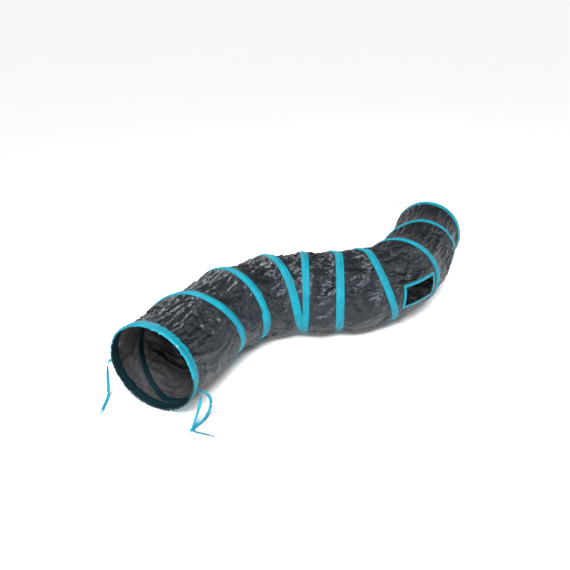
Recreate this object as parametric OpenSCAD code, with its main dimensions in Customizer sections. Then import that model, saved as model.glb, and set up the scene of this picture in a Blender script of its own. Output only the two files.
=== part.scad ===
// Collapsible agility tunnel for dogs, lying on a floor in a gentle bend.
// One spring wire winds along the whole tube, and a closed ring stiffens each mouth.
// Millimetres. X runs from the front mouth to the rear mouth, Z is up, the floor is Z = 0,
// and the origin is the middle of the footprint of everything but the loose ties.

/* [Tube] */
// Outer radius of the fabric tube
fabric_r = 121.9; // [100:0.1:160]
// Thickness of the fabric wall
fabric_t = 0.6; // [0.4:0.1:1.5]

/* [Spring wire] */
// Radius from the tube's middle line to the wire's centre
wire_r = 123.6; // [101:0.1:162]
// Diameter of the spring wire
wire_d = 2; // [1.5:0.1:3]

/* [Tape] */
// Width of the tape that covers the wire
tape_w = 25; // [18:1:35]
// Thickness of the tape
tape_t = 0.7; // [0.4:0.1:1.2]
// Outer radius over the tape's crown, where the tunnel touches the floor
crown_r = 125.8; // [103:0.1:165]
// Width of the facing tape inside the tube
facing_w = 20; // [12:1:30]
// Inner radius of the facing tape
facing_r = 119.9; // [98:0.1:158]
// Thickness of the facing tape
facing_t = 0.6; // [0.4:0.1:1.2]

/* [Mouth rims] */
// Length of the binding that is folded over each mouth's edge
binding_l = 25; // [18:1:35]
// Inner radius of the binding, the clear opening of each mouth
mouth_r = 119.6; // [98:0.1:158]

/* [Side window] */
// Where the window starts and ends along the middle line
window_run = [858, 956]; // [840:1:960]
// Lower and upper edge of the window, as angles above the tube's side
window_rise = [-13, 18]; // [-40:1:40]
// Width of the binding around the window
window_edge = 7; // [4:1:12]

/* [Ties] */
// Diameter of a ribbon tie, gathered round
tie_d = 4; // [3:0.5:8]

/* [Hidden] */
// Length and bend of each section of the middle line, front to rear (bend in degrees, left positive)
run = [234, 150, 151, 66, 108, 130, 126, 216, 179];
bend = [-4, -18, -32, -12, 8, 20, 24, 20, -9];
// How far each turn of the wire leans forward from top to bottom, and bows forward at its near side
lean = [0, 90, 52, 58, 0, 6, 75, 14, 48, 0];
bow = [0, 11, 5, 27, 0, -18, -18, 21, 14, 0];
// Steps round the tube, and the longest step along the fabric
steps = 32;
row_l = 20;
last = len(run);
// Distance of each station along the middle line
station = [for (k = 0, s = 0; k <= last; s = s + (k < last ? run[k] : 0), k = k + 1) s];
// Distance between a rim's plane and the nearest the wire comes to it
rim_clear = binding_l - 3 + tape_w / 2 + 1;
gap = 0.25;
cyan = [0.03, 0.62, 0.76];
deep = [0.02, 0.14, 0.17];
dark = [0.13, 0.13, 0.15];
steel = [0.62, 0.63, 0.65];
// Left tie: hangs from the rim's far side and runs out on the floor, measured from the front mouth
left_route = [[-45, 118, 113], [-48, 126, 112], [-53, 130, 96], [-57, 131, 60], [-60, 131, 28],
    [-65, 129, 6], [-76, 118, 2.6], [-95, 100, 2.6], [-114, 81, 2.6]];
// Right tie: one ribbon sewn on by its middle, so that it has two strands
right_route_a = [[64, -101, 84], [62, -112, 66], [50, -119, 44], [36, -122, 24], [22, -128, 9],
    [14, -136, 2.8], [17, -147, 2.6], [25, -161, 2.6], [39, -190, 2.6]];
right_route_b = [[66, -99, 79], [80, -112, 68], [88, -117, 48], [84, -120, 28], [70, -124, 14],
    [50, -130, 8], [30, -133, 8], [14, -135, 8.5], [2, -134, 4]];

// Position and heading of station k, before the chord is turned along X
function spot(k) = k == 0 ? [0, 0, 0]
    : let (p = spot(k - 1), a = bend[k - 1], r = run[k - 1] * 180 / PI / a)
      [p.x + r * (sin(p.z + a) - sin(p.z)), p.y - r * (cos(p.z + a) - cos(p.z)), p.z + a];
spots = [for (k = [0 : last]) spot(k)];
chord = atan2(spots[last].y, spots[last].x);
function section_of(s, k = 0) = k >= last - 1 || s < station[k + 1] ? k : section_of(s, k + 1);
// Point and heading of the middle line at distance s, still measured from the front mouth
function middle(s) = let (k = section_of(s), p = spots[k], a = bend[k] * (s - station[k]) / run[k],
        r = run[k] * 180 / PI / bend[k],
        x = p.x + r * (sin(p.z + a) - sin(p.z)), y = p.y - r * (cos(p.z + a) - cos(p.z)))
    [x * cos(chord) + y * sin(chord), y * cos(chord) - x * sin(chord), p.z + a - chord];
// Point at distance s, angle t above the near side, radius r, measured from the front mouth
function around(s, t, r) = let (m = middle(s))
    [m.x + r * cos(t) * sin(m.z), m.y - r * cos(t) * cos(m.z), crown_r + r * sin(t)];
// The footprint: both ends of each rim binding, and the crown of the wire's tape at both sides
function rim_side(s, a, side) = let (m = middle(s))
    [m.x + a * cos(m.z) + side * crown_r * sin(m.z), m.y + a * sin(m.z) - side * crown_r * cos(m.z)];
outline = concat(
    [for (a = [-3, binding_l - 3], side = [-1, 1]) rim_side(0, a, side)],
    [for (a = [3, 3 - binding_l], side = [-1, 1]) rim_side(station[last], a, side)],
    [for (k = [1 : last - 1], q = [0, 0.5]) let (s = coil(k - 1 + q))
        rim_side(s, 0, q == 0 ? 1 : -1)]);
function span(i) = [min([for (p = outline) p[i]]), max([for (p = outline) p[i]])];
origin = [(span(0)[0] + span(0)[1]) / 2, (span(1)[0] + span(1)[1]) / 2, 0];
function place(s, t, r) = around(s, t, r) - origin;

// Distance along the middle line that the wire has reached after u turns
function edge_low(k) = k == 0 ? rim_clear : station[k] + lean[k] / 2;
function edge_high(k) = k == last ? station[last] - rim_clear : station[k] - lean[k] / 2;
function coil(u) = let (k = min(floor(u), last - 1), q = u - k, j = q < 0.5 ? k : k + 1, t = -360 * q,
        climb = k == last - 1 ? 4 : 2)
    q >= 0.25 && (q <= 0.75 || k == last - 1)
    ? edge_low(k) + (edge_high(k + 1) - edge_low(k)) * min(1, (q - 0.25) * climb)
    : j == 0 ? rim_clear : station[j] - lean[j] / 2 * sin(t) + bow[j] * cos(t);

// A solid through rings of points. Each ring is a row of points and the same row back.
module loft(rings, loop = false) {
    m = len(rings[0]);
    n = len(rings);
    h = m / 2;
    sides = [for (i = [0 : n - (loop ? 1 : 2)], j = [0 : m - 1])
        let (a = i * m + j, b = i * m + (j + 1) % m, c = ((i + 1) % n) * m + (j + 1) % m,
             d = ((i + 1) % n) * m + j) each [[a, b, c], [a, c, d]]];
    caps = loop ? [] : [for (j = [0 : h - 2])
        each [[j, m - 1 - j, m - 2 - j], [j, m - 2 - j, j + 1]]];
    ends = loop ? [] : [for (f = caps) [for (v = [2, 1, 0]) f[v] + (n - 1) * m]];
    polyhedron([for (ring = rings) each ring], concat(sides, caps, ends), convexity = 8);
}

// One ring of a strip laid along the wire: profile points are [along, radius]
function strip_ring(u, profile) = [for (p = profile) place(coil(u) + p.x, -360 * u, p.y)];
// The turns of the wire from station k. It starts low beside the front rim, and the last turn
// climbs faster and ends beside the rear rim on the far side.
function turn_from(k) = k == 0 ? 4 / steps : k;
function turn_to(k) = k == last - 1 ? k + 0.5 : k + 1;
module strip(k, profile) {
    trim = gap / (2 * PI * fabric_r);
    a = turn_from(k) + trim;
    b = turn_to(k) - trim;
    n = round((turn_to(k) - turn_from(k)) * steps);
    loft([for (i = [0 : n]) strip_ring(min(max(turn_from(k) + i / steps, a), b), profile)]);
}

crown = [[-tape_w / 2, wire_r - 1.2], [-3, crown_r], [3, crown_r], [tape_w / 2, wire_r - 1.2],
    [tape_w / 2 - 2.9, wire_r - 1.2], [2.4, crown_r - tape_t], [-2.4, crown_r - tape_t],
    [2.9 - tape_w / 2, wire_r - 1.2]];
wire_round = [for (a = [30 : 60 : 330]) [-wire_d / 2 * cos(a), wire_r + wire_d / 2 * sin(a)]];
facing = [[-facing_w / 2, facing_r + facing_t], [facing_w / 2, facing_r + facing_t],
    [facing_w / 2, facing_r], [-facing_w / 2, facing_r]];

module coil_tape(k) color(cyan) strip(k, crown);
module coil_wire(k) color(steel) strip(k, wire_round);
module facing_tape(k) color(deep) strip(k, facing);

// A patch of the tube's wall between two distances, two angles and two radii
module patch(along, rise, radii) {
    n = 6;
    rows = [for (i = [0 : n]) along[0] + (along[1] - along[0]) * i / n];
    back = [for (i = [n : -1 : 0]) rows[i]];
    loft([for (i = [0 : 6]) let (t = rise[1] + (rise[0] - rise[1]) * i / 6)
        concat([for (s = rows) place(s, t, radii[1])], [for (s = back) place(s, t, radii[0])])]);
}

// One section of the fabric tube, a little short of its neighbours
module fabric(k) color(dark) {
    tight = 1 - abs(bend[k]) * PI / 180 / run[k] * fabric_r;
    a = station[k] + (k == 0 ? 0 : gap / tight);
    b = station[k + 1] - (k == last - 1 ? 0 : gap / tight);
    n = ceil(run[k] / row_l);
    rows = [for (i = [0 : n]) a + (b - a) * i / n];
    back = [for (i = [n : -1 : 0]) rows[i]];
    difference() {
        loft([for (i = [0 : steps - 1]) let (t = -360 * i / steps)
            concat([for (s = rows) place(s, t, fabric_r)],
                   [for (s = back) place(s, t, fabric_r - fabric_t)])], true);
        if (k == section_of(window_run[0])) patch(window_run, window_rise, [115, 130]);
    }
}

module window_binding() color(cyan) difference() {
    patch(window_run + [-window_edge, window_edge], window_rise + [-4, 4],
        [fabric_r + 0.5, fabric_r + 1.4]);
    patch(window_run, window_rise, [115, 130]);
}

// Puts its children at a rim, with Z pointing into the tunnel
module at_rim(s, flip) {
    m = middle(s);
    translate([m.x, m.y, crown_r] - origin) rotate([0, 90, m.z + (flip ? 180 : 0)]) children();
}

module rim_binding(s, flip) color(cyan) at_rim(s, flip) rotate_extrude($fn = 96)
    polygon([[mouth_r, binding_l - 3], [mouth_r, -3], [crown_r, -3], [crown_r, 4.5],
        [fabric_r + 1.3, binding_l - 3], [fabric_r + 0.5, binding_l - 3], [fabric_r + 0.5, 13],
        [crown_r - 0.8, 3.8], [crown_r - 0.8, -2.2], [mouth_r + 0.8, -2.2],
        [mouth_r + 0.8, binding_l - 3]]);

module rim_wire(s, flip) color(steel) at_rim(s, flip) translate([0, 0, 0.5])
    rotate_extrude($fn = 96) translate([wire_r, 0]) circle(d = wire_d, $fn = 24);

// A ribbon tie along its route, with smooth bends
function bezier(a, b, c, t) = a * (1 - t) * (1 - t) + b * 2 * t * (1 - t) + c * t * t;
function smooth(route) = [each [route[0]], for (i = [1 : len(route) - 2])
    let (a = (route[i - 1] + route[i]) / 2, c = (route[i] + route[i + 1]) / 2)
    each [for (t = [0 : 0.25 : 0.99]) bezier(a, route[i], c, t)],
    (route[len(route) - 2] + route[len(route) - 1]) / 2, route[len(route) - 1]];
function unit(v) = v / norm(v);
module tie(route) color(cyan) {
    line = smooth(route);
    n = len(line) - 1;
    loft([for (i = [0 : n]) let (d = unit(line[min(i + 1, n)] - line[max(i - 1, 0)]),
            side = unit(cross(d, [0.35, 0.2, 1])), over = cross(side, d))
        [for (a = [22.5 : 45 : 337.5])
            line[i] - origin + tie_d / 2 * (side * cos(a) + over * sin(a))]]);
}

module front_rim_binding() rim_binding(0, false);
module front_rim_wire() rim_wire(0, false);
module rear_rim_binding() rim_binding(station[last], true);
module rear_rim_wire() rim_wire(station[last], true);
module tie_left() tie(left_route);
module tie_right_a() tie(right_route_a);
module tie_right_b() tie(right_route_b);

module fabric_1() fabric(0);
module fabric_2() fabric(1);
module fabric_3() fabric(2);
module fabric_4() fabric(3);
module fabric_5() fabric(4);
module fabric_6() fabric(5);
module fabric_7() fabric(6);
module fabric_8() fabric(7);
module fabric_9() fabric(8);

module coil_wire_1() coil_wire(0);
module coil_wire_2() coil_wire(1);
module coil_wire_3() coil_wire(2);
module coil_wire_4() coil_wire(3);
module coil_wire_5() coil_wire(4);
module coil_wire_6() coil_wire(5);
module coil_wire_7() coil_wire(6);
module coil_wire_8() coil_wire(7);
module coil_wire_9() coil_wire(8);

module coil_tape_1() coil_tape(0);
module coil_tape_2() coil_tape(1);
module coil_tape_3() coil_tape(2);
module coil_tape_4() coil_tape(3);
module coil_tape_5() coil_tape(4);
module coil_tape_6() coil_tape(5);
module coil_tape_7() coil_tape(6);
module coil_tape_8() coil_tape(7);
module coil_tape_9() coil_tape(8);

module facing_tape_1() facing_tape(0);
module facing_tape_2() facing_tape(1);
module facing_tape_3() facing_tape(2);
module facing_tape_4() facing_tape(3);
module facing_tape_5() facing_tape(4);
module facing_tape_6() facing_tape(5);
module facing_tape_7() facing_tape(6);
module facing_tape_8() facing_tape(7);
module facing_tape_9() facing_tape(8);

front_rim_binding();
front_rim_wire();
tie_left();
tie_right_a();
tie_right_b();
fabric_1();
fabric_2();
fabric_3();
fabric_4();
fabric_5();
fabric_6();
fabric_7();
fabric_8();
fabric_9();
coil_wire_1();
coil_wire_2();
coil_wire_3();
coil_wire_4();
coil_wire_5();
coil_wire_6();
coil_wire_7();
coil_wire_8();
coil_wire_9();
coil_tape_1();
coil_tape_2();
coil_tape_3();
coil_tape_4();
coil_tape_5();
coil_tape_6();
coil_tape_7();
coil_tape_8();
coil_tape_9();
facing_tape_1();
facing_tape_2();
facing_tape_3();
facing_tape_4();
facing_tape_5();
facing_tape_6();
facing_tape_7();
facing_tape_8();
facing_tape_9();
window_binding();
rear_rim_binding();
rear_rim_wire();
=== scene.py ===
"""The looks of a collapsible agility tunnel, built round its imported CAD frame.

Metres, in the row frame: X from the front mouth to the rear one, Z up, floor at Z = 0.
Every surface is laid out on one map from (distance along the tube, angle round it, radius)
to a point, the same map that the CAD source uses, so cloth, tape and wire nest in each other.
"""

import math

import bpy
import numpy as np
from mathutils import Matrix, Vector


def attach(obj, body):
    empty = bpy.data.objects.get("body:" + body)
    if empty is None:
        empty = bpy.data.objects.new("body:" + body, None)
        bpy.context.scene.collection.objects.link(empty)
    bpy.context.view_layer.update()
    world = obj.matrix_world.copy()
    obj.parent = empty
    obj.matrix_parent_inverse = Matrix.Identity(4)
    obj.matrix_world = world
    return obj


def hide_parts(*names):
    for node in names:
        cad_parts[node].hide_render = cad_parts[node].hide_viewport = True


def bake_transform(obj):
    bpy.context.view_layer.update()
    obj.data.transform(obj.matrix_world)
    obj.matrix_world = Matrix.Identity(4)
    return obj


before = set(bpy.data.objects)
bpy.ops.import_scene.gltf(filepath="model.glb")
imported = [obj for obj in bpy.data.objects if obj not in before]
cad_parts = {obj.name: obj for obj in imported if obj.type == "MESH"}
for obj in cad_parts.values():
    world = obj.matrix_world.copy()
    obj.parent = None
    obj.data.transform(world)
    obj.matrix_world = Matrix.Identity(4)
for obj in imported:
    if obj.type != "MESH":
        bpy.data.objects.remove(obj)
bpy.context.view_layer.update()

# ---- The tube's driving sizes, as in the CAD source ----
MM = 0.001
RUN = np.array([234, 150, 151, 66, 108, 130, 126, 216, 179]) * MM
BEND = np.radians([-4, -18, -32, -12, 8, 20, 24, 20, -9])
LEAN = np.array([0, 90, 52, 58, 0, 6, 75, 14, 48, 0]) * MM
BOW = np.array([0, 11, 5, 27, 0, -18, -18, 21, 14, 0]) * MM
FABRIC_R = 121.9 * MM
WIRE_R = 123.6 * MM
CROWN_R = 125.8 * MM
FACING_R = 119.9 * MM
BINDING_L = 25 * MM
LIP = 3 * MM  # how far the binding stands out past the cloth's edge
TAPE_W = 25 * MM
RIM_CLEAR = BINDING_L - LIP + TAPE_W / 2 + 1 * MM  # from a mouth to its nearest turn of the wire
WINDOW_RUN = (858 * MM, 956 * MM)
WINDOW_RISE = (math.radians(-13), math.radians(18))
LAST = len(RUN)
STATION = np.concatenate([[0], np.cumsum(RUN)])
FULL_TURN = 2 * math.pi
LEFT_ROUTE = [(-45, 118, 113), (-48, 126, 112), (-53, 130, 96), (-57, 131, 60), (-60, 131, 28),
              (-65, 129, 6), (-76, 118, 2.6), (-95, 100, 2.6), (-114, 81, 2.6)]
RIGHT_ROUTE_A = [(64, -101, 84), (62, -112, 66), (50, -119, 44), (36, -122, 24), (22, -128, 9),
                 (14, -136, 2.8), (17, -147, 2.6), (25, -161, 2.6), (39, -190, 2.6)]
RIGHT_ROUTE_B = [(66, -99, 79), (80, -112, 68), (88, -117, 48), (84, -120, 28), (70, -124, 14),
                 (50, -130, 8), (30, -133, 8), (14, -135, 8.5), (2, -134, 4)]
RIBBON_W = 8 * MM
RIBBON_T = 0.5 * MM
COIL_START, COIL_END = 4 / 32, LAST - 0.5  # the wire's ends, in turns

# How low each kind of piece may come over the floor, so that none sinks in
CLOTH_LOW = 0.8 * MM
RIBBON_LOW = 0.3 * MM
TAPE_LOW = 0.05 * MM

# ---- Camera: the photo's viewing angle, from a fit of the tunnel's ribs ----
CAMERA_AT = (-1.1912, -1.0144, 0.9484)
CAMERA_HEADING = math.radians(44.87)
CAMERA_PITCH = math.radians(27.54)
LENS = 35.17
SENSOR = 36


def make_camera():
    data = bpy.data.cameras.new("camera")
    data.lens = LENS
    data.sensor_width = SENSOR
    camera = bpy.data.objects.new("camera", data)
    bpy.context.scene.collection.objects.link(camera)
    flat = math.cos(CAMERA_PITCH)
    look = Vector((flat * math.cos(CAMERA_HEADING), flat * math.sin(CAMERA_HEADING),
                   -math.sin(CAMERA_PITCH)))
    camera.location = CAMERA_AT
    camera.rotation_euler = look.to_track_quat("-Z", "Y").to_euler()
    bpy.context.scene.camera = camera


# ---- The map from tube coordinates to points ----
def spots():
    """Position and heading of each station, measured from the front mouth."""
    out = [(0.0, 0.0, 0.0)]
    for length, bend in zip(RUN, BEND):
        x, y, h = out[-1]
        r = length / bend
        out.append((x + r * (math.sin(h + bend) - math.sin(h)),
                    y - r * (math.cos(h + bend) - math.cos(h)), h + bend))
    return np.array(out)


SPOTS = spots()
CHORD = math.atan2(SPOTS[-1, 1], SPOTS[-1, 0])


def section_of(s):
    """The section that distance s is in, counted from 0."""
    return np.clip(np.searchsorted(STATION, s, side="right") - 1, 0, LAST - 1)


def middle(s):
    """x, y and heading of the tube's middle line at distance s."""
    s = np.asarray(s, float)
    k = section_of(s)
    x0, y0, h = SPOTS[k, 0], SPOTS[k, 1], SPOTS[k, 2]
    r = RUN[k] / BEND[k]
    a = (s - STATION[k]) / r
    x = x0 + r * (np.sin(h + a) - np.sin(h))
    y = y0 - r * (np.cos(h + a) - np.cos(h))
    c, n = math.cos(CHORD), math.sin(CHORD)
    return x * c + y * n, y * c - x * n, h + a - CHORD


def edge_low(k):
    """Where the wire starts its climb through section k."""
    return RIM_CLEAR if k == 0 else STATION[k] + LEAN[k] / 2


def edge_high(k):
    """Where the wire ends its climb through the section before station k."""
    return STATION[LAST] - RIM_CLEAR if k == LAST else STATION[k] - LEAN[k] / 2


def coil(u):
    """Distance along the tube that the wire has reached after u turns."""
    k = min(int(math.floor(u)), LAST - 1)
    q = u - k
    climb = 4 if k == LAST - 1 else 2  # it climbs in half a turn, and in a quarter in the last
    if q >= 0.25 and (q <= 0.75 or k == LAST - 1):
        return edge_low(k) + (edge_high(k + 1) - edge_low(k)) * min(1, (q - 0.25) * climb)
    j = k if q < 0.5 else k + 1
    if j == 0:
        return edge_low(0)
    t = -FULL_TURN * q
    return STATION[j] - LEAN[j] / 2 * math.sin(t) + BOW[j] * math.cos(t)


def outline_middle():
    """The middle of the tube's footprint, by the rule that the CAD source uses."""
    points = []
    ends = [(0, a) for a in (-LIP, BINDING_L - LIP)]
    ends += [(STATION[LAST], a) for a in (LIP, LIP - BINDING_L)]
    sides = [(s, a, side) for s, a in ends for side in (-1, 1)]
    sides += [(coil(k - 1 + q), 0, 1 if q == 0 else -1) for k in range(1, LAST) for q in (0, 0.5)]
    for s, a, side in sides:
        x, y, h = middle(s)
        points.append((x + a * math.cos(h) + side * CROWN_R * math.sin(h),
                       y + a * math.sin(h) - side * CROWN_R * math.cos(h)))
    points = np.array(points)
    return (points.min(0) + points.max(0)) / 2


ORIGIN = np.array([*outline_middle(), 0.0])


def place(s, t, r, ahead=0.0):
    """Points at distance s, angle t above the near side and radius r, then ahead, straight on."""
    x, y, h = middle(s)
    return np.stack([x + ahead * np.cos(h) + r * np.cos(t) * np.sin(h),
                     y + ahead * np.sin(h) - r * np.cos(t) * np.cos(h),
                     CROWN_R + r * np.sin(t) + 0 * x], -1) - ORIGIN


def above_near(t):
    """Angle t, turned to between minus and plus half a turn from the near side."""
    return (t + math.pi) % FULL_TURN - math.pi


def lengths_along(points):
    """How far along a line of points each of them is."""
    steps = np.linalg.norm(np.diff(points, axis=0), axis=1)
    return np.concatenate([[0], np.cumsum(steps)])


def stretch(s, t, r):
    """How much longer the wall is than the middle line, at distance s and angle t."""
    k = section_of(s)
    return 1 + BEND[k] / RUN[k] * r * np.cos(t)


# ---- Meshes ----
def new_mesh(name, points, faces, uv=None, normals=None):
    """A smooth mesh object, with a UV and a normal for each point if they are given."""
    mesh = bpy.data.meshes.new(name)
    mesh.from_pydata(np.asarray(points).tolist(), [], np.asarray(faces).tolist())
    mesh.update()
    for p in mesh.polygons:
        p.use_smooth = True
    if uv is not None:
        layer = mesh.uv_layers.new(name="run")
        corner = np.zeros(len(mesh.loops), np.int32)
        mesh.loops.foreach_get("vertex_index", corner)
        layer.data.foreach_set("uv", np.asarray(uv, np.float32)[corner].ravel())
    if normals is not None:
        mesh.normals_split_custom_set_from_vertices(np.asarray(normals).tolist())
    obj = bpy.data.objects.new(name, mesh)
    bpy.context.scene.collection.objects.link(obj)
    return obj


def grid_faces(rows, columns):
    """Quads of a grid of points, whose columns close up."""
    i, j = np.meshgrid(np.arange(rows - 1), np.arange(columns), indexing="ij")
    k = (j + 1) % columns
    return np.stack([i * columns + j, i * columns + k, (i + 1) * columns + k,
                     (i + 1) * columns + j], -1).reshape(-1, 4)


def ring_faces(rows, columns):
    """Quads of a grid of points whose rows and columns both close up."""
    i, j = np.meshgrid(np.arange(rows), np.arange(columns), indexing="ij")
    n, m = (i + 1) % rows, (j + 1) % columns
    return np.stack([i * columns + j, n * columns + j, n * columns + m, i * columns + m],
                    -1).reshape(-1, 4)


def vertex_normals(points, faces):
    """The normal at each point, from the quads round it."""
    a, b, c, d = (points[faces[:, i]] for i in range(4))
    n = np.cross(c - a, d - b)
    out = np.zeros_like(points)
    for i in range(4):
        np.add.at(out, faces[:, i], n)
    return out / np.maximum(np.linalg.norm(out, axis=1, keepdims=True), 1e-12)


def fold_with(obj, k, s):
    """Bakes obj's transform into its mesh, without bending it with section k. s is not used."""
    ends = [place(STATION[i], 0.0, 0.0) for i in (k, k + 1)]
    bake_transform(obj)


def lined(faces, count):
    """faces with a second layer behind them, count points on, and the open edges closed."""
    start, end = faces.ravel(), np.roll(faces, -1, 1).ravel()
    edge = ~np.isin(start * count + end, end * count + start)
    a, b = start[edge], end[edge]
    return np.concatenate([faces, faces[:, ::-1] + count,
                           np.stack([b, a, a + count, b + count], 1)])


def split(name, points, faces, s, uv=None, normals=None, lining=False):
    """Cuts a mesh that runs along the tube into one piece a section. Yields each section,
    its piece and the number of faces in the piece's first layer."""
    part = section_of(s[faces].mean(1))
    for k in range(LAST):
        mine = faces[part == k]
        outer = len(mine)
        if lining:
            mine = lined(mine, len(points) // 2)
        used, mine = np.unique(mine, return_inverse=True)
        obj = new_mesh(f"{name}_{k + 1}_look", points[used], mine.reshape(-1, 4),
                       None if uv is None else uv[used],
                       None if normals is None else normals[used])
        fold_with(obj, k, s[used])
        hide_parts(f"{name}_{k + 1}")
        yield k, obj, outer


# ---- Materials ----
class Nodes:
    """A small helper that writes one procedural material."""

    def __init__(self, name):
        self.material = bpy.data.materials.new(name)
        self.material.use_nodes = True
        self.tree = self.material.node_tree
        self.shader = self.tree.nodes["Principled BSDF"]
        self.where = self.add("ShaderNodeTexCoord")

    def add(self, kind, values=None, links=None, **settings):
        node = self.tree.nodes.new(kind)
        for key, value in settings.items():
            setattr(node, key, value)
        for key, value in (values or {}).items():
            node.inputs[key].default_value = value
        for key, value in (links or {}).items():
            self.tree.links.new(value, node.inputs[key])
        return node

    def noise(self, vector, scale, detail=3.0, rough=0.55, distortion=0.0):
        return self.add("ShaderNodeTexNoise",
                        {"Scale": scale, "Detail": detail, "Roughness": rough,
                         "Distortion": distortion}, {"Vector": vector})

    def math(self, operation, a, b=0.0):
        values, links = {}, {}
        for i, v in enumerate((a, b)):
            if isinstance(v, (int, float)):
                values[i] = v
            else:
                links[i] = v
        return self.add("ShaderNodeMath", values, links, operation=operation).outputs[0]

    def ramp(self, value, stops):
        node = self.add("ShaderNodeValToRGB", links={"Fac": value})
        ramp = node.color_ramp
        while len(ramp.elements) < len(stops):
            ramp.elements.new(0.5)
        for element, (at, color) in zip(ramp.elements, stops):
            element.position = at
            element.color = (*color, 1)
        return node.outputs["Color"]

    def bump(self, height, strength, distance, under=None):
        links = {"Height": height}
        if under is not None:
            links["Normal"] = under
        return self.add("ShaderNodeBump", {"Strength": strength, "Distance": distance},
                        links).outputs["Normal"]

    def set(self, values=None, links=None):
        for key, value in (values or {}).items():
            self.shader.inputs[key].default_value = value
        for key, value in (links or {}).items():
            self.tree.links.new(value, self.shader.inputs[key])
        return self.material


# Layers of creases: the degrees that turn each to its own part of the noise, and in metres the
# width round the tube, the length along it and the bump's height
CREASES = ((38, 0.036, 0.09, 0.015), (-34, 0.03, 0.08, 0.013), (4, 0.02, 0.11, 0.006),
           (70, 0.016, 0.05, 0.003))


def nylon(name, light, deep, gloss):
    """Thin nylon. Its UV map runs along and round the tube, in metres."""
    n = Nodes(name)
    uv = n.where.outputs["UV"]
    at = n.where.outputs["Object"]
    broad = n.noise(at, 12, 4, 0.6).outputs["Fac"]
    crumpled = n.ramp(n.noise(at, 9, 3, 0.6).outputs["Fac"],
                      [(0.35, (0.25,) * 3), (0.65, (1,) * 3)])
    normal = n.bump(n.noise(at, 900, 2, 0.5).outputs["Fac"], 0.1, 0.0004)
    for turn, width, length, height in CREASES:
        laid = n.add("ShaderNodeMapping", {"Rotation": (0, 0, math.radians(turn)),
                                           "Scale": (1 / length, 1 / width, 1)}, {"Vector": uv})
        fold = n.noise(laid.outputs["Vector"], 1, 2, 0.5, 0.6).outputs["Fac"]
        crease = n.math("ABSOLUTE", n.math("SUBTRACT", fold, 0.5))
        normal = n.bump(n.math("MULTIPLY", crease, crumpled), 1.0, height, normal)
    color = n.ramp(broad, [(0.3, deep), (0.7, light)])
    rough = n.math("ADD", n.math("MULTIPLY", broad, 0.2), 0.3)
    return n.set({"Specular IOR Level": gloss, "Specular Tint": (0.8, 0.91, 1.0, 1)},
                 {"Base Color": color, "Roughness": rough, "Normal": normal})


TAPE_WEAVE, RIBBON_WEAVE = 1.1 * MM, 0.8 * MM  # the pitch of the weave's ribs


def tape(name, light, deep, weave=TAPE_WEAVE):
    """Woven polyester tape. Its UV map runs along and across it, in metres."""
    n = Nodes(name)
    uv = n.where.outputs["UV"]
    parts = n.add("ShaderNodeSeparateXYZ", links={"Vector": uv})
    along, across = parts.outputs["X"], parts.outputs["Y"]
    ribs = n.math("SINE", n.math("MULTIPLY", along, FULL_TURN / weave))
    yarns = n.math("SINE", n.math("MULTIPLY", across, FULL_TURN / (weave * 0.8)))
    cloth = n.math("MULTIPLY", ribs, yarns)
    patch = n.noise(n.where.outputs["Object"], 30, 4, 0.6).outputs["Fac"]
    color = n.ramp(patch, [(0.25, deep), (0.75, light)])
    normal = n.bump(cloth, 0.35, 0.0003)
    normal = n.bump(patch, 0.3, 0.002, normal)
    gather = n.noise(along, 130, 2).outputs["Fac"]
    normal = n.bump(gather, 0.5, 0.0015, normal)
    return n.set({"Roughness": 0.5, "Specular IOR Level": 0.25},
                 {"Base Color": color, "Normal": normal})


def steel():
    """Drawn spring steel."""
    n = Nodes("steel")
    drawn = n.noise(n.where.outputs["Object"], 900, 2).outputs["Fac"]
    return n.set({"Base Color": (0.5, 0.51, 0.53, 1), "Metallic": 1.0},
                 {"Roughness": n.math("ADD", n.math("MULTIPLY", drawn, 0.15), 0.22),
                  "Normal": n.bump(drawn, 0.1, 0.0002)})


def finish_piece(obj, material):
    """Gives obj its material."""
    obj.data.materials.clear()
    obj.data.materials.append(material)


# ---- Ribbon ties, made right after the camera ----
RIBBON_SIDE = np.array([0.35, 0.2, 1.0])  # a ribbon's width starts out square to this
RIBBON_CUP = 0.35 * MM  # how much higher its middle stands than its edges


def smooth(route, steps=6):
    """The route with each bend rounded, in metres in the row frame."""
    p = np.array(route, float) * MM - ORIGIN
    line = [p[0]]
    for i in range(1, len(p) - 1):
        a, c = (p[i - 1] + p[i]) / 2, (p[i] + p[i + 1]) / 2
        for t in np.arange(steps) / steps:
            line.append(a * (1 - t) ** 2 + p[i] * 2 * t * (1 - t) + c * t * t)
    return np.array(line + [(p[-2] + p[-1]) / 2, p[-1]])


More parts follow.
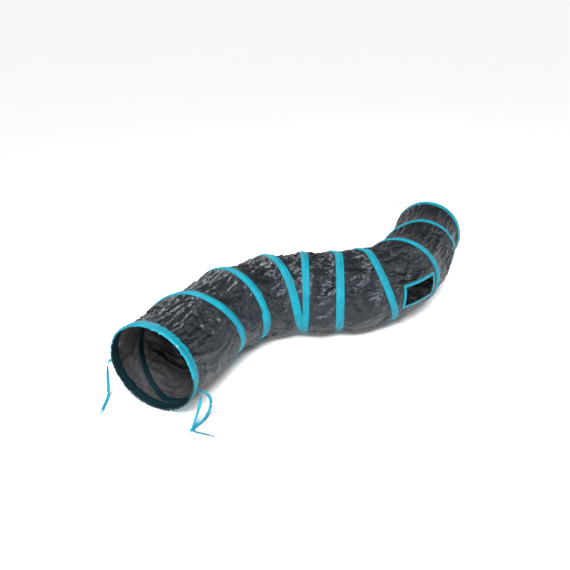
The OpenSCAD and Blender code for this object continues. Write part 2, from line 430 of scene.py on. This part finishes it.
def make_tie(name, route, twist, material):
    """A flat ribbon along its route. twist is its width's turn about the route, end to end."""
    line = smooth(route)
    along = np.gradient(line, axis=0)
    along /= np.linalg.norm(along, axis=1, keepdims=True)
    far = lengths_along(line)
    side = np.cross(along, RIBBON_SIDE)
    side /= np.linalg.norm(side, axis=1, keepdims=True)
    over = np.cross(side, along)
    turn = np.interp(far / far[-1], np.linspace(0, 1, len(twist)), np.radians(twist))[:, None]
    wide = side * np.cos(turn) + over * np.sin(turn)
    thick = np.cross(wide, along)
    across = np.array([-1, -0.6, 0, 0.6, 1, 1, 0.6, 0, -0.6, -1]) * RIBBON_W / 2
    up = np.array([1] * 5 + [-1] * 5) * RIBBON_T / 2
    cup = (1 - (across / (RIBBON_W / 2)) ** 2) * RIBBON_CUP
    points = (line[:, None] + wide[:, None] * across[None, :, None]
              + thick[:, None] * (up + cup)[None, :, None])
    points[..., 2] = np.maximum(points[..., 2], RIBBON_LOW)
    rows, columns = points.shape[:2]
    faces = grid_faces(rows, columns).tolist()
    for row in (0, rows - 1):
        ring = [row * columns + j for j in range(columns)]
        half = columns // 2
        for j in range(half - 1):
            quad = [ring[j], ring[columns - 1 - j], ring[columns - 2 - j], ring[j + 1]]
            faces.append(quad if row == 0 else quad[::-1])
    uv = np.stack([np.repeat(far, columns), np.tile(across, rows)], -1)
    obj = new_mesh(f"{name}_look", points.reshape(-1, 3), faces, uv)
    finish_piece(obj, material)
    obj.data.materials.append(sealed_end)
    tip = np.zeros(len(obj.data.polygons), np.int32)
    tip[(rows - 2) * columns:(rows - 1) * columns] = 1
    obj.data.polygons.foreach_set("material_index", tip)
    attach(obj, "front_end")
    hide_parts(name)


make_camera()
ribbon_finish = tape("ribbon", (0.008, 0.3, 0.4), (0.001, 0.17, 0.24), RIBBON_WEAVE)
sealed_end = tape("sealed_end", (0.3, 0.5, 0.55), (0.2, 0.42, 0.48), RIBBON_WEAVE)
make_tie("tie_left", LEFT_ROUTE, [80, 60, 20, 0, 0], ribbon_finish)
make_tie("tie_right_a", RIGHT_ROUTE_A, [60, 20, 0, 0, 0], ribbon_finish)
make_tie("tie_right_b", RIGHT_ROUTE_B, [30, 60, 60, 80, 80], ribbon_finish)

# ---- The fabric tube: one cloth, slack between the wire's turns ----
COLUMNS = 128  # points round the tube, before the grid is doubled
ROW = 9.5 * MM  # and about how far apart the rows are
SEED = 7
CLOTH_T = 0.5 * MM
PIN_NEAR = 10 * MM  # cloth this near the wire, along the tube, is held by it
PIN_RIM = 16 * MM  # and this near a mouth
WINDOW_PIN = (1 * MM, 0.03)  # and this far round the window, along the tube and in radians
WAVE = 1.2 * MM  # how uneven the free cloth is before it settles
FRAMES = 42
SLACK = 0.045  # how much longer the cloth is than its span where the tunnel is bunched up
SLACK_TAUT = 0.008  # and where it is pulled out
BUNCHED = (STATION[2], STATION[6])
SLACK_EASE = 60 * MM  # the way from one slack to the other

# How far off the cloth is held to the tube's own shape, and how far off it is free
TAPE_HOLD = (12.5 * MM, 24 * MM)
RIM_HOLD = (21 * MM, 31 * MM)
WINDOW_HOLD = (9 * MM, 21 * MM)
SEAM_AT, SEAM_WIDE = 18 * MM, 22 * MM  # where the seam gathers the cloth, beside the wire


def cloth_rows():
    """Distances of the cloth's rows: a row at each station and at the window's edges."""
    marks = sorted([*STATION, *WINDOW_RUN])
    rows = [0.0]
    for a, b in zip(marks, marks[1:]):
        n = max(1, round((b - a) / ROW))
        rows += [a + (b - a) * (i + 1) / n for i in range(n)]
    return np.array(rows)


def coil_distance(s, t):
    """Distance from each point of the cloth to the nearest turn of the wire, along the tube."""
    share = np.mod(-t / FULL_TURN, 1)
    nowhere = 9.0  # farther off than any turn
    best = np.full(np.broadcast(s, t).shape, 1.0)
    for k in range(LAST):
        reach = np.array([coil(k + q) if COIL_START <= k + q <= COIL_END else nowhere
                          for q in share.ravel()]).reshape(share.shape)
        best = np.minimum(best, np.abs(s - reach))
    return best


def smooth_noise(rng, shape, scale):
    """Random values that change slowly over the grid and close up round the tube.

    scale is how slowly, for both ways or as (along, round)."""
    noise = rng.standard_normal(shape)
    down, round_it = np.broadcast_to(scale, 2)
    f0 = np.fft.fftfreq(shape[0])[:, None] * down
    f1 = np.fft.fftfreq(shape[1])[None, :] * round_it
    out = np.real(np.fft.ifft2(np.fft.fft2(noise) * np.exp(-20 * (f0**2 + f1**2))))
    return out / out.std()


def leaning(grid, shift):
    """The grid with each row turned by shift columns more than the last."""
    return np.array([np.roll(row, shift * i) for i, row in enumerate(grid)])


def simulate(points, faces, pinned, taut):
    """Lets the slack cloth settle under its own weight and returns its points."""
    obj = new_mesh("cloth_work", points, faces)
    group = obj.vertex_groups.new(name="pin")
    group.add(np.nonzero(pinned)[0].tolist(), 1.0, "REPLACE")
    cloth = obj.modifiers.new("cloth", "CLOTH")
    s = cloth.settings
    s.quality = 6
    s.mass = 0.12
    s.air_damping = 2.0
    s.tension_stiffness = s.compression_stiffness = 18
    s.shear_stiffness = 6
    s.bending_stiffness = 0.03
    s.tension_damping = s.compression_damping = s.shear_damping = 8
    s.vertex_group_mass = "pin"
    hold = obj.vertex_groups.new(name="taut")
    for i, weight in enumerate(taut):
        hold.add([i], float(weight), "REPLACE")
    s.vertex_group_shrink = "taut"
    s.shrink_min = -SLACK
    s.shrink_max = -SLACK_TAUT
    cloth.collision_settings.use_collision = False
    cloth.point_cache.frame_start = 1
    cloth.point_cache.frame_end = FRAMES
    scene = bpy.context.scene
    for f in range(1, FRAMES + 1):
        scene.frame_set(f)
    done = obj.evaluated_get(bpy.context.evaluated_depsgraph_get())
    out = np.zeros(len(points) * 3, np.float32)
    done.data.vertices.foreach_get("co", out)
    bpy.data.objects.remove(obj)
    scene.frame_set(1)
    return out.reshape(-1, 3).astype(float)


def doubled(grid, axis, loop):
    """The grid with a point added between each two along axis, on a cubic through four."""
    g = np.moveaxis(grid, axis, 0)
    if loop:
        a, b, c, d = np.roll(g, 1, 0), g, np.roll(g, -1, 0), np.roll(g, -2, 0)
    else:
        b, c = g[:-1], g[1:]
        a = np.concatenate([g[:1] * 2 - g[1:2], g[:-2]])
        d = np.concatenate([g[2:], g[-1:] * 2 - g[-2:-1]])
    between = (9 * (b + c) - a - d) / 16
    out = np.empty((len(g) + len(between), *g.shape[1:]))
    out[0::2], out[1::2] = g, between
    return np.moveaxis(out, 0, axis)


def slack_cloth(rng):
    """The cloth after it has settled: its rows' distances along the tube, and for each point
    its distance along the tube, its distance from the wire and its place."""
    rows = cloth_rows()
    angles = -FULL_TURN * np.arange(COLUMNS) / COLUMNS
    s, t = np.meshgrid(rows, angles, indexing="ij")
    wave = smooth_noise(rng, s.shape, (3.5, 1.8)) + 0.5 * smooth_noise(rng, s.shape, 1)
    near_wire = coil_distance(s, t) * stretch(s, t, FABRIC_R)
    rims = np.minimum(s, STATION[LAST] - s) < PIN_RIM
    rise = above_near(t)
    beside, above = WINDOW_PIN
    window = ((s > WINDOW_RUN[0] - beside) & (s < WINDOW_RUN[1] + beside)
              & (rise > WINDOW_RISE[0] - above) & (rise < WINDOW_RISE[1] + above))
    pinned = (near_wire < PIN_NEAR) | rims | window
    points = place(s, t, FABRIC_R + np.where(pinned, 0, wave * WAVE))
    away = np.maximum(BUNCHED[0] - s, s - BUNCHED[1])
    taut = np.clip(away / SLACK_EASE, 0, 1)
    faces = grid_faces(len(rows), COLUMNS)
    points = simulate(points.reshape(-1, 3), faces, pinned.ravel(), taut.ravel())
    points = points.reshape(*s.shape, 3)
    return rows, s, near_wire, points


def freed(distance, hold):
    """0 where the cloth is held, nearer than hold[0], and 1 where it is free, past hold[1]."""
    return np.clip((distance - hold[0]) / (hold[1] - hold[0]), 0, 1)


def free_share(s, t, near_wire):
    """How free the cloth is of its tape, rims and window, from 0 to 1, at each point."""
    rise = above_near(t)
    beside = np.maximum(np.maximum(WINDOW_RUN[0] - s, s - WINDOW_RUN[1]), 0)
    above = np.maximum(np.maximum(WINDOW_RISE[0] - rise, rise - WINDOW_RISE[1]), 0) * FABRIC_R
    return (freed(near_wire, TAPE_HOLD) * freed(np.minimum(s, STATION[LAST] - s), RIM_HOLD)
            * freed(np.hypot(beside, above), WINDOW_HOLD))


def crinkle(rng, shape, near_wire):
    """How far the small creases stand out of free cloth, at each point."""
    folds = 1 - np.abs(leaning(smooth_noise(rng, shape, (7, 4)), 3))
    cross = 1 - np.abs(leaning(smooth_noise(rng, shape, (6, 2.6)), -4))
    streaks = 1 - np.abs(smooth_noise(rng, shape, (8, 1.9)))
    crumple = 1 - np.abs(smooth_noise(rng, shape, (2.4, 2.6)))
    seam = np.exp(-(((near_wire - SEAM_AT) / SEAM_WIDE) ** 2))
    gather = smooth_noise(rng, shape, (12, 1.4))
    patches = np.clip(0.75 + 0.6 * smooth_noise(rng, shape, 12), 0.15, 2.0)
    return ((1.1 * folds + 1.1 * cross + 0.7 * streaks + 0.2 * crumple) * patches
            + 0.9 * seam * gather) * MM


def window_columns():
    """The window's upper and lower edges, in columns of the cloth's grid from the near side."""
    low, high = (round(-w / FULL_TURN * COLUMNS) for w in WINDOW_RISE)
    return high, low


def window_hole(rows):
    """Which quads of the doubled grid are cut out for the window."""
    open_rows = (rows >= WINDOW_RUN[0] - 1e-6) & (rows < WINDOW_RUN[1] - 1e-6)
    high, low = window_columns()
    column = np.arange(COLUMNS)
    signed = np.where(column > COLUMNS // 2, column - COLUMNS, column)
    open_columns = (signed >= high) & (signed < low)
    return np.repeat(np.repeat(open_rows[:-1, None] & open_columns[None], 2, 0), 2, 1)


def make_fabric(outside, inside):
    """The cloth with its creases and its window, in an outer and an inner layer."""
    rng = np.random.default_rng(SEED)
    rows, s, near_wire, points = slack_cloth(rng)
    points = doubled(doubled(points, 1, True), 0, False)
    near_wire = doubled(doubled(near_wire[..., None], 1, True), 0, False)[..., 0]
    s = np.repeat(doubled(s, 0, False), 2, axis=1)
    t = np.broadcast_to(-FULL_TURN * np.arange(s.shape[1]) / s.shape[1], s.shape)
    free = free_share(s, t, near_wire)
    held = place(s, t, FABRIC_R)
    points = held + (points - held) * (free * free * (3 - 2 * free))[..., None]
    faces = grid_faces(*s.shape)
    points = points.reshape(-1, 3)
    height = crinkle(rng, s.shape, near_wire) * free
    points = points + vertex_normals(points, faces) * height.reshape(-1, 1)
    points[:, 2] = np.maximum(points[:, 2], CLOTH_LOW)
    normals = vertex_normals(points, faces)
    faces = faces[~window_hole(rows).ravel()]
    points = np.concatenate([points, points - normals * CLOTH_T])
    normals = np.concatenate([normals, -normals])
    around = np.mod(-t - math.pi / 2, FULL_TURN) * FABRIC_R  # it closes up underneath
    uv = np.stack([s, around], -1).reshape(-1, 2)
    for k, obj, outer in split("fabric", points, faces, np.tile(s.ravel(), 2),
                               np.tile(uv, (2, 1)), normals, lining=True):
        finish_piece(obj, outside)
        obj.data.materials.append(inside)
        layer = np.arange(len(obj.data.polygons)) // outer == 1
        obj.data.polygons.foreach_set("material_index", layer.astype(np.int32))


# ---- The wire's tape, its facing inside, and the wire ----
# Low on the near side the fourth turn slips back by LAP, and the fifth lies over it by LAP_LIFT.
# Each is at its most after LAP_TURNS turns, and fades within about LAP_REACH of a turn.
LAP, LAP_LIFT = 20 * MM, 3.4 * MM
LAP_TURNS = (3.15, 4.15)
LAP_REACH = (0.09, 0.1)


def swell(turns, i):
    """1 at the middle of the lap and 0 away from it, for the lower (0) or upper (1) turn."""
    return np.exp(-(((turns - LAP_TURNS[i]) / LAP_REACH[i]) ** 2))


def strip(name, profile, steps, material, lift=0.0):
    """A closed strip along the whole wire, in so many steps a turn.

    profile points are (across, radius), out and back. lift is how far the fifth turn stands off
    the fourth."""
    profile = np.array(profile)
    turns = np.arange(COIL_START, COIL_END + 1e-9, 1 / steps)
    across, radius = profile.T
    centre = np.array([coil(u) for u in turns])
    t = -FULL_TURN * turns
    scale = stretch(centre, t, WIRE_R)
    centre = centre + LAP * swell(turns, 0)
    over = lift * swell(turns, 1)
    s = centre[:, None] + across[None] / scale[:, None]
    points = place(s, np.repeat(t[:, None], len(profile), 1), radius[None] + over[:, None])
    points[..., 2] = np.maximum(points[..., 2], TAPE_LOW)
    far = lengths_along(points[:, 0])
    uv = np.stack(np.broadcast_arrays(far[:, None], across[None]), -1).reshape(-1, 2)
    faces = grid_faces(len(turns), len(profile))[:, ::-1]
    m, n = len(profile), len(turns)
    caps = [[j, j + 1, m - 2 - j, m - 1 - j] for j in range(m // 2 - 1)]
    ends = [[(n - 1) * m + v for v in cap[::-1]] for cap in caps]
    faces = np.concatenate([faces, caps, ends])
    for _, obj, _ in split(name, points.reshape(-1, 3), faces, s.ravel(), uv):
        finish_piece(obj, material)


def tape_profile():
    """The tape lies on the fabric at both edges and rides over the wire in the middle."""
    half = TAPE_W / 2
    x = np.array([-1, -0.8, -0.5, -0.25, -0.12, 0, 0.12, 0.25, 0.5, 0.8, 1]) * half
    rise = np.array([0.5, 0.75, 1.2, 2.3, 3.2, 3.35, 3.2, 2.3, 1.2, 0.75, 0.5]) * MM
    top = [(a, FABRIC_R + b + 0.5 * MM) for a, b in zip(x, rise)]
    return top + [(a, FABRIC_R + b - 0.1 * MM) for a, b in zip(x[::-1] * 0.98, rise[::-1])]


def facing_profile():
    """A flat tape against the inside of the cloth."""
    x = np.array([-10, -6, 0, 6, 10]) * MM
    return ([(a, FABRIC_R - 1.0 * MM) for a in x]
            + [(a, FACING_R + 0.4 * MM) for a in x[::-1]])


def wire_profile():
    """Six-sided, 2 mm across."""
    half = 1 * MM
    a = np.radians(np.arange(30, 390, 60))
    return [(-half * math.cos(b), WIRE_R + half * math.sin(b)) for b in a]


# ---- The mouth rims and the window's binding ----
RIM_POINTS = 384
PUCKER = 0.5 * MM  # how uneven the binding's gathers are
SCALLOP, SCALLOPS = 0.7 * MM, 52  # their height and their number round the mouth

# The binding's outline in mm, as (inwards from the cloth's edge, radius): the outer leaf, the
# rolled lip with the wire in it, the inner leaf's free side, and back between the leaves
RIM_PATH = [(22, 122.5), (21, 123.1), (15, 123.4), (9, 124.0), (5, 125.2), (1, 125.8),
            (-2, 125.3), (-3, 123.6), (-3, 121.6), (-2.2, 120.2), (0, 119.8), (8, 119.9),
            (16, 120.0), (22, 120.1), (22, 120.6), (12, 120.5), (0, 120.6), (-1.8, 121.8),
            (-1.9, 123.6), (0, 124.6), (4, 124.4), (9, 123.2), (15, 122.7), (21.5, 122.4)]
# The outline's stretches that take painted shade, the dark colour on a binding that is cyan all
# over: from the first of these on the mouth's lower half, and all round from the second to the
# third
RIM_PAINTED_SHADE = (6, 8, 15)


def make_rim(name, s0, direction, body, material, inner_shade, rng):
    """Binding folded over a mouth's edge."""
    path = np.array(RIM_PATH) * MM
    inwards, radius = path.T
    t = -FULL_TURN * np.arange(RIM_POINTS) / RIM_POINTS
    pucker = smooth_noise(rng, (RIM_POINTS, 1), 2.2)[:, 0] * PUCKER
    drift = 2 * smooth_noise(rng, (RIM_POINTS, 1), 9)[:, 0]
    pucker = (pucker + SCALLOP * np.sin(t * SCALLOPS + drift))[:, None]
    # The gathers are strongest at the leaves' inward edge and at the lip
    edge = np.clip((inwards - 3 * MM) / (18 * MM), 0, 1)
    lip = np.clip((2 * MM - inwards) / (5 * MM), 0, 1)
    r = radius - np.abs(pucker) * (0.5 * edge + 1.6 * lip)
    ahead = direction * inwards - direction * (pucker * (1.6 * edge - 1.1 * lip))
    points = place(s0, t[:, None], r, ahead)
    points[..., 2] = np.maximum(points[..., 2], 0)
    rows, columns = r.shape
    faces = ring_faces(rows, columns)
    if direction < 0:
        faces = faces[:, ::-1]
    around = np.repeat(-t * WIRE_R, columns)
    across = np.tile(lengths_along(path), rows)
    obj = new_mesh(f"{name}_look", points.reshape(-1, 3), faces, np.stack([around, across], -1))
    finish_piece(obj, material)
    obj.data.materials.append(inner_shade)
    j = np.arange(columns)
    roll, inner_leaf, last = RIM_PAINTED_SHADE
    # Painted shade: the lip on the lower half and the inner leaf all round take the dark colour
    lower = np.sin(t)[:, None] < 0.05
    painted_shade = ((j >= inner_leaf) & (j <= last)) | ((j >= roll) & (j < inner_leaf) & lower)
    obj.data.polygons.foreach_set("material_index", painted_shade.ravel().astype(np.int32))
    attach(obj, body)
    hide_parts(name)


WINDOW_EDGE = 8.5 * MM  # the width of the window's binding
WINDOW_SECTION = 6
SIDE_POINTS = 10


def make_window(material):
    """Binding sewn round the window's edge, a closed frame with four square corners."""
    corners = np.array([(0, 0), (1, 0), (1, 1), (0, 1)], float)
    along = (np.arange(SIDE_POINTS) / SIDE_POINTS)[None, :, None]
    sides = np.roll(corners, -1, 0) - corners
    square = (corners[:, None] + sides[:, None] * along).reshape(-1, 2)
    outwards = square * 2 - 1
    high, low = (-c / COLUMNS * FULL_TURN for c in window_columns())
    # The binding's outline: outwards from the window's edge, and up from the cloth
    grow = np.array([-1.2 * MM, -1.6 * MM, 0, WINDOW_EDGE * 0.5, WINDOW_EDGE * 0.9, WINDOW_EDGE,
                     WINDOW_EDGE * 0.9, 0])
    lift = np.array([0.4, 1.3, 1.7, 1.9, 1.5, 0.7, 0.35, 0.2]) * MM
    longer = stretch(np.array(sum(WINDOW_RUN) / 2), 0.0, FABRIC_R)
    s = (WINDOW_RUN[0] + square[:, :1] * (WINDOW_RUN[1] - WINDOW_RUN[0])
         + outwards[:, :1] * grow / longer)
    t = low + square[:, 1:] * (high - low) + outwards[:, 1:] * grow / FABRIC_R
    points = place(s, t, FABRIC_R + lift)
    rows, columns = s.shape
    far, wide = 0.4, 0.018  # the frame's length round and the outline's, for the weave
    uv = np.stack([np.repeat(np.linspace(0, far, rows), columns),
                   np.tile(np.linspace(0, wide, columns), rows)], -1)
    obj = new_mesh("window_binding_look", points.reshape(-1, 3), ring_faces(rows, columns), uv)
    finish_piece(obj, material)
    fold_with(obj, WINDOW_SECTION, s.ravel())
    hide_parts("window_binding")


# ---- The tube's pieces ----
cyan_tape = tape("cyan_tape", (0.0, 0.29, 0.385), (0.0, 0.165, 0.235))
# The facing tape's own dark colour, which the rims' inner side also takes as painted shade
dark_tape_and_shade = tape("dark_tape_and_shade", (0.003, 0.024, 0.032), (0.001, 0.01, 0.014))
metal = steel()
make_fabric(nylon("nylon", (0.0088, 0.0105, 0.014), (0.0025, 0.0034, 0.005), 0.52),
            nylon("nylon_inside", (0.064, 0.064, 0.069), (0.038, 0.038, 0.042), 0.25))
strip("coil_tape", tape_profile(), 96, cyan_tape, LAP_LIFT)
strip("facing_tape", facing_profile(), 64, dark_tape_and_shade)
strip("coil_wire", wire_profile(), 48, metal)
draw = np.random.default_rng(11)
make_rim("front_rim_binding", 0.0, 1, "front_end", cyan_tape, dark_tape_and_shade, draw)
make_rim("rear_rim_binding", STATION[LAST], -1, "section_9", cyan_tape, dark_tape_and_shade, draw)
make_window(cyan_tape)
for node in ("front_rim_wire", "rear_rim_wire"):
    finish_piece(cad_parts[node], metal)


# ---- Floor and light ----
FLOOR_SIZE = 400
FLOOR_DROP = 0.5 * MM
SKY = ((0.0, 1.0), (0.06, 1.0), (0.35, 0.15), (0.6, 0.08), (0.9, 0.3))  # height and brightness
SUN_POWER = 2.8
SUN_SOFTNESS = math.radians(20)
SUN_TILT = (math.radians(24), math.radians(-22), 0)
LAMPS = (("key", (-1.3, -0.6, 1.7), 0.35, 18), ("side", (1.3, -1.2, 1.2), 0.3, 9),
         ("back", (0.3, 1.6, 1.5), 0.35, 20), ("mouth", (-1.8, -0.7, 0.5), 0.35, 14))
LAMPS_AIM = Vector((0, 0, 0.1))


def make_floor():
    bpy.ops.mesh.primitive_plane_add(size=FLOOR_SIZE, location=(0, 0, -FLOOR_DROP))
    floor = bpy.context.object
    floor.name = "floor"
    n = Nodes("floor")
    grain = n.noise(n.where.outputs["Object"], 3, 2).outputs["Fac"]
    color = n.ramp(grain, [(0.2, (0.96,) * 3), (0.8, (0.98,) * 3)])
    floor.data.materials.append(n.set({"Roughness": 0.9, "Specular IOR Level": 0.1},
                                      {"Base Color": color}))


def make_sky():
    world = bpy.data.worlds.new("studio")
    world.use_nodes = True
    nodes, links = world.node_tree.nodes, world.node_tree.links
    direction = nodes.new("ShaderNodeTexCoord")
    height = nodes.new("ShaderNodeSeparateXYZ")
    ramp = nodes.new("ShaderNodeValToRGB")
    links.new(direction.outputs["Generated"], height.inputs[0])
    links.new(height.outputs["Z"], ramp.inputs["Fac"])
    links.new(ramp.outputs["Color"], nodes["Background"].inputs["Color"])
    while len(ramp.color_ramp.elements) < len(SKY):
        ramp.color_ramp.elements.new(0.5)
    for element, (up, grey) in zip(ramp.color_ramp.elements, SKY):
        element.position = up
        element.color = (grey, grey, grey, 1)
    bpy.context.scene.world = world


def add_lamp(name, data):
    lamp = bpy.data.objects.new(name, data)
    bpy.context.scene.collection.objects.link(lamp)
    return lamp


def make_lights():
    sun = bpy.data.lights.new("sun", "SUN")
    sun.energy = SUN_POWER
    sun.angle = SUN_SOFTNESS
    add_lamp("sun", sun).rotation_euler = SUN_TILT
    for name, at, wide, power in LAMPS:
        data = bpy.data.lights.new(name, "AREA")
        data.size = wide
        data.energy = power
        lamp = add_lamp(name, data)
        lamp.location = at
        lamp.rotation_euler = (LAMPS_AIM - Vector(at)).to_track_quat("-Z", "Y").to_euler()


make_floor()
make_sky()
make_lights()
bpy.context.scene.view_settings.view_transform = "Standard"
